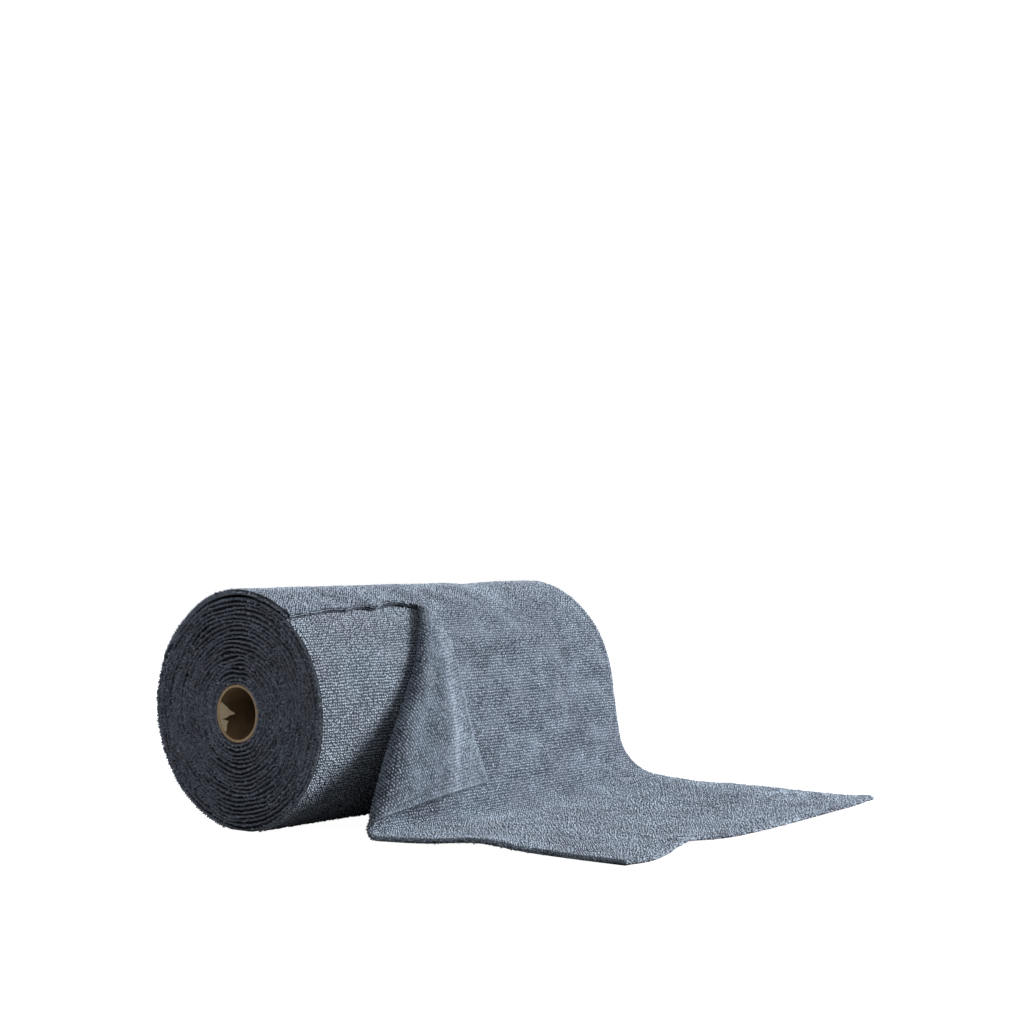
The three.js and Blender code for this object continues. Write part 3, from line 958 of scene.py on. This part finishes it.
def end_spots():
    """Cut ends of pile along every layer's edge, on both ends of the roll."""
    rng = np.random.default_rng(23)
    spots = []
    for side in (-1, 1):
        length = lattice(0, float(run_along(TURNS - 0.2)), 0.55)
        turn = (WOUND_RADIUS - np.sqrt(WOUND_RADIUS**2 - TURN_PITCH * length / math.pi)) / TURN_PITCH
        share = rng.uniform(0.36, 0.64, len(turn))
        proud = crown_height(turn, side) + 0.05 - 0.8 * np.abs(share - 0.5)
        spot = end_point(turn, share, proud, side)
        _, around = around_roll(turn)
        facing = unit(rng.normal(0, 0.35, (len(turn), 3)) + (side, 0, 0))
        shown = spot[:, 2] > LOWEST_ON_END
        flat = np.column_stack([length, np.full(len(turn), WEB_WIDTH)])
        size = rng.uniform(0.5, 1.3, len(turn))
        spots.append(only(shown, spot, facing, around, flat, size))
    # The loose layer's own cut edge, over the near end
    along = lattice(TOP_START, END_EDGE, 0.35)
    spots.append(edge_spots(draped, np.zeros(len(along)), along, (-1, 0), -0.6, 1, 0.6, rng))
    return spots


# Finishes

# Sizes of the patterns, in millimetres. Single microfibres and paper fibres are far too fine to show, so
# they are drawn as clumps of this size.
FIBRE_CLUMP = 0.909
DYE_MOTTLE = 16.667
DYE_PATCH = 45.455
PAPER_MOTTLE = 6.25
PAPER_GRIT = 0.6667


def scale_for(size):
    """A noise's scale for a pattern whose spots have a size in millimetres."""
    return 1 / (size * MM)


def terry_material(name, valley, ridge, bluish, purplish, sheen):
    """Warp-knitted microfibre terry, painted by its 'lift' from the valley colour, painted shade deep in the
    pile, to the ridge colour, painted light on the loops' tops. The dye takes a little unevenly, so that the
    cloth is mottled blue and purple-grey."""
    material, tree = new_material(name)
    place = node(tree, "ShaderNodeAttribute", {"attribute_name": "flat"}).outputs["Vector"]
    lift = node(tree, "ShaderNodeAttribute", {"attribute_name": "lift"}).outputs["Fac"]
    each = node(tree, "ShaderNodeTexWhiteNoise", {"noise_dimensions": "2D"}, Vector=place)
    solid_place = node(tree, "ShaderNodeTexCoord").outputs["Object"]
    clumps = {"Scale": scale_for(FIBRE_CLUMP), "Detail": 3.0, "Roughness": 0.7}
    fibre = node(tree, "ShaderNodeTexNoise", clumps, Vector=solid_place)
    blotches = {"Scale": scale_for(DYE_MOTTLE), "Detail": 4.0, "Roughness": 0.6}
    blotch = node(tree, "ShaderNodeTexNoise", blotches, Vector=place)
    patch = node(tree, "ShaderNodeTexNoise", {"Scale": scale_for(DYE_PATCH), "Detail": 2.0}, Vector=place)
    raised = node(tree, "ShaderNodeMath", {"operation": "MULTIPLY_ADD", 1: 0.8, 2: -0.42}, _0=fibre)
    shade = node(tree, "ShaderNodeMath", {"operation": "MULTIPLY_ADD", 1: 0.5, 2: -0.25}, _0=each)
    varied = node(tree, "ShaderNodeMath", {"operation": "MULTIPLY"}, _0=shade, _1=lift)
    lit = node(tree, "ShaderNodeMath", {"operation": "ADD"}, _0=lift, _1=varied)
    mottle = node(tree, "ShaderNodeMath", {"operation": "MULTIPLY_ADD", 1: 0.9, 2: -0.45}, _0=blotch)
    spread = node(tree, "ShaderNodeMath", {"operation": "ADD"}, _0=raised, _1=mottle)
    level = node(tree, "ShaderNodeMath", {"operation": "ADD", "use_clamp": True}, _0=lit, _1=spread)
    tone = node(tree, "ShaderNodeMapRange", {"From Min": 0.35, "From Max": 0.65}, Value=patch)
    dyes = {"data_type": "RGBA", 6: linear(bluish), 7: linear(purplish)}
    hue = node(tree, "ShaderNodeMix", dyes, _0=tone)
    depths = {"data_type": "RGBA", 6: linear(valley), 7: linear(ridge)}
    ramped = node(tree, "ShaderNodeMix", depths, _0=level)
    dyed = {"data_type": "RGBA", "blend_type": "MULTIPLY", 0: 1.0}
    colour = node(tree, "ShaderNodeMix", dyed, _6=ramped.outputs[2], _7=hue.outputs[2])
    relief = node(tree, "ShaderNodeBump", {"Strength": 0.8, "Distance": 0.6 * MM}, Height=fibre)
    dull = {
        "Roughness": 0.95,
        "Specular IOR Level": 0.2,
        "Sheen Weight": sheen,
        "Sheen Roughness": 0.5,
        "Sheen Tint": linear("#c3cedc"),
    }
    surface = node(tree, "ShaderNodeBsdfPrincipled", dull, Base_Color=colour.outputs[2], Normal=relief)
    node(tree, "ShaderNodeOutputMaterial", Surface=surface)
    return material


def paper_material(name, dark, light):
    """Unbleached kraft tube board: grey-brown, dull, with a faint mottle of long and short fibres."""
    material, tree = new_material(name)
    place = node(tree, "ShaderNodeTexCoord").outputs["Object"]
    blotches = {"Scale": scale_for(PAPER_MOTTLE), "Detail": 5.0, "Roughness": 0.65}
    mottle = node(tree, "ShaderNodeTexNoise", blotches, Vector=place)
    grit = node(tree, "ShaderNodeTexNoise", {"Scale": scale_for(PAPER_GRIT), "Detail": 2.0}, Vector=place)
    shades = {"data_type": "RGBA", 6: linear(dark), 7: linear(light)}
    colour = node(tree, "ShaderNodeMix", shades, _0=mottle)
    relief = node(tree, "ShaderNodeBump", {"Strength": 0.4, "Distance": 0.3 * MM}, Height=grit)
    dull = {"Roughness": 0.8, "Specular IOR Level": 0.3}
    surface = node(tree, "ShaderNodeBsdfPrincipled", dull, Base_Color=colour.outputs[2], Normal=relief)
    node(tree, "ShaderNodeOutputMaterial", Surface=surface)
    return material


# The paper tube


def paper_tube():
    """The paper tube, with softly broken rims. Its inner wall has the darker kraft that paints the shade
    inside the bore.
    """
    half = WEB_WIDTH / 2
    bore = TUBE_RADIUS - TUBE_WALL
    profile = [
        (-half + 0.3, TUBE_RADIUS),
        (-half, TUBE_RADIUS - 0.4),
        (-half - 0.05, TUBE_RADIUS - 0.9),
        (-half, bore + 0.35),
        (-half + 0.4, bore),
    ]
    profile += [(-x, radius) for x, radius in reversed(profile)]
    around = 96
    points, faces = [], []
    for x, radius in profile:
        for k in range(around):
            a = 2 * math.pi * k / around
            points.append((x, radius * math.cos(a), AXIS_HEIGHT + radius * math.sin(a)))
    rings = len(profile)
    for r in range(rings):
        for k in range(around):
            m = (k + 1) % around
            n = (r + 1) % rings
            faces.append((r * around + k, n * around + k, n * around + m, r * around + m))
    inner_wall = rings // 2 - 1
    # The inner wall gets the darker kraft as painted shade
    finishes = [1 if r == inner_wall else 0 for r in range(rings) for _ in range(around)]
    return mesh_piece("paper_tube", points, faces, finishes=finishes)


def peeled_ply(name, low, high, tip, reach, height):
    """A torn tongue of the tube's inner ply that has lifted off the wall just inside its near rim. It runs
    between two angles at the rim and comes to a point at a third."""
    bore = TUBE_RADIUS - TUBE_WALL
    thickness = 0.35
    deep, wide = 10, 12
    sides = []
    for inset in (0.0, thickness):
        for i in range(deep + 1):
            share = i / deep
            lifted = 0.15 + height * share**1.6
            for k in range(wide + 1):
                angle = math.radians(low + (high - low) * k / wide)
                aimed = math.radians(tip)
                ragged = math.radians(4) * share * noise.noise(Vector((angle * 9, share * 5, tip)))
                turned = angle + (aimed - angle) * min(share, 0.97) ** 1.4 + ragged
                radius = bore - lifted - inset
                x = -WEB_WIDTH / 2 + 0.6 + reach * share
                sides.append((x, radius * math.cos(turned), AXIS_HEIGHT + radius * math.sin(turned)))
    row = wide + 1
    layer = (deep + 1) * row
    faces = grid_faces(deep + 1, row)
    faces += [(layer + a, layer + d, layer + c, layer + b) for a, b, c, d in faces]
    rim = list(range(row))
    rim += [i * row + wide for i in range(1, deep + 1)]
    rim += [deep * row + k for k in reversed(range(wide))]
    rim += [i * row for i in reversed(range(1, deep))]
    for k, point in enumerate(rim):
        following = rim[(k + 1) % len(rim)]
        faces.append((point, layer + point, layer + following, following))
    return mesh_piece(name, sides, faces)


# Camera at the photograph's view, its places in metres. It comes before the pieces so that the frame is
# settled.
FOCAL_PIXELS = 2049.0
FRAME_PIXELS = 1024.0
SENSOR_WIDTH = 36.0
CAMERA_AT = Vector((-1.0700, -0.9532, 0.1893))
CAMERA_LOOKS_AT = Vector((0.1305, 0.0, 0.2059))

camera_data = bpy.data.cameras.new("camera")
camera_data.sensor_width = SENSOR_WIDTH
camera_data.lens = FOCAL_PIXELS / FRAME_PIXELS * SENSOR_WIDTH
camera_data.clip_end = 50.0
camera = placed("camera", camera_data)
camera.location = CAMERA_AT
camera.rotation_euler = (CAMERA_LOOKS_AT - CAMERA_AT).to_track_quat("-Z", "Y").to_euler()
scene.camera = camera

# Warp-knitted microfibre terry, brushed up by use: soft matt loops, painted light on top and painted shade
# between
loose_terry = terry_material("microfibre terry", "#484f58", "#c9d2dd", "#f0f8ff", "#e0e3ec", 0.15)

# The same terry on the wound roll, painted paler and more even as painted light
PAINTED_LIGHTER_WOUND = "microfibre terry wound, painted lighter"
wound_terry_painted_light = terry_material(PAINTED_LIGHTER_WOUND, "#525962", "#d8e0e9", "#f0f8ff", "#e6e7ef", 0.15)

# Cut and torn microfibre terry with painted shade: near black between pale tufts, in the gaps of the roll's
# ends and on the shaded halves of the towel's edges
cut_terry_painted_shade = terry_material("cut microfibre terry with painted shade", "#0f1216", "#c6cddc", "#f0f8ff", "#ece8f0", 0.1)

# Spirally wound kraft board, sawn off: dull light brown paper with a faint mottle
kraft = paper_material("kraft tube board", "#b59778", "#e2c5a0")

# The same board on the tube's inner wall, painted a darker brown as the shade inside the bore
kraft_painted_shade = paper_material("kraft tube board, painted shade inside", "#5f4b33", "#866e50")

# Kraft ply torn through its middle: loose, fuzzy fibres paler than the pressed face, and paler still as a
# painted highlight
torn_kraft_painted_highlight = paper_material("torn kraft ply with painted highlight", "#d6ba94", "#fff0d0")

sheet = towel_sheet()
web = wound_web()
tube = paper_tube()
tongues = [
    peeled_ply("peeled_ply_long", -18, 24, -6, 9.0, 4.6),
    peeled_ply("peeled_ply_short", -50, -14, -24, 4.5, 1.8),
]

# Loops of the knit, and the tufts of cut pile, which are smaller, taller and lie every way
PILE_LOOP = loop_shape()
PILE_TREE = pile_tree()
KNIT_LOOP = dict(Across=1.75 * MM, Along=2.2 * MM, Height=0.85 * MM, Unevenness=0.35, Twist=0.6, Seed=3)
CUT_LOOP = dict(Across=1.0 * MM, Along=0.9 * MM, Height=1.2 * MM, Unevenness=0.5, Twist=1.5, Seed=5)
towel_pile = grow_pile("towel_pile", towel_spots(), KNIT_LOOP, loose_terry)
wound_pile = grow_pile("wound_pile", wound_spots(), KNIT_LOOP, wound_terry_painted_light)
end_pile = grow_pile("end_pile", end_spots(), CUT_LOOP, cut_terry_painted_shade)
bpy.data.objects.remove(PILE_LOOP)


def dress(piece, materials, slot, *nodes):
    """Gives a piece its materials and its body, and hides the solids it stands for. The slot is not used."""
    for material in materials:
        piece.data.materials.append(material)
    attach(piece, "root")
    if nodes:
        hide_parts(*nodes)


dress(sheet, [loose_terry, cut_terry_painted_shade], "terry_loose", "loose_towel")
dress(towel_pile, [], "terry_loose")
dress(web, [wound_terry_painted_light, cut_terry_painted_shade], "terry_wound", "wound_roll")
dress(wound_pile, [], "terry_wound")
dress(end_pile, [], "terry_wound")
dress(tube, [kraft, kraft_painted_shade], "kraft_paper", "core_tube")
for tongue in tongues:
    dress(tongue, [torn_kraft_painted_highlight], "kraft_paper")

# Plain white floor. It looks evenly lit where it is seen, and gives the towels little light from below.
FLOOR_REACH = 8.0
PURE_WHITE = (1, 1, 1, 1)
floor_points = [(x, y, 0.0) for x in (-FLOOR_REACH, FLOOR_REACH) for y in (-FLOOR_REACH, FLOOR_REACH)]
floor_mesh = bpy.data.meshes.new("floor")
floor_mesh.from_pydata(floor_points, [], [(0, 2, 3, 1)])
placed("floor", floor_mesh)
white, tree = new_material("pale studio floor")
seen = node(tree, "ShaderNodeLightPath").outputs["Is Camera Ray"]
dull = node(tree, "ShaderNodeBsdfDiffuse", {"Color": linear("#9a9a9a")})
glow = node(tree, "ShaderNodeEmission", {"Color": PURE_WHITE, "Strength": 0.98})
lit_white = node(tree, "ShaderNodeAddShader", _0=dull, _1=glow)
floor_look = node(tree, "ShaderNodeMixShader", _0=seen, _1=dull, _2=lit_white)
node(tree, "ShaderNodeOutputMaterial", Surface=floor_look)
floor_mesh.materials.append(white)

# White surroundings that give a little soft light from all round
world = bpy.data.worlds.new("studio")
world.use_nodes = True
tree = world.node_tree
tree.nodes.clear()
seen = node(tree, "ShaderNodeLightPath").outputs["Is Camera Ray"]
soft_light = node(tree, "ShaderNodeBackground", {"Color": PURE_WHITE, "Strength": 0.06})
backdrop = node(tree, "ShaderNodeBackground", {"Color": PURE_WHITE, "Strength": 1.05})
surroundings = node(tree, "ShaderNodeMixShader", _0=seen, _1=soft_light, _2=backdrop)
node(tree, "ShaderNodeOutputWorld", Surface=surroundings)
scene.world = world

# The square soft lights look at this point
LIT_POINT = Vector((0.0, -0.05, 0.05))


def softbox(name, place, size, watts):
    """A square soft light at a place, turned to the lit point."""
    data = bpy.data.lights.new(name, "AREA")
    data.shape = "SQUARE"
    data.size = size
    data.energy = watts
    light = placed(name, data)
    light.location = place
    light.rotation_euler = (LIT_POINT - Vector(place)).to_track_quat("-Z", "Y").to_euler()


# Strong light from the front right and from behind, and weak light on the near end and the front
softbox("key", (1.0, -1.5, 0.64), 1.0, 56.0)
softbox("end", (-1.4, -0.45, 1.0), 0.8, 2.8)
softbox("near", (-0.6, -1.3, 1.0), 1.0, 1.8)
softbox("back", (0.2, 1.8, 0.8), 1.0, 76.0)

scene.view_settings.view_transform = "Standard"
scene.view_settings.look = "None"
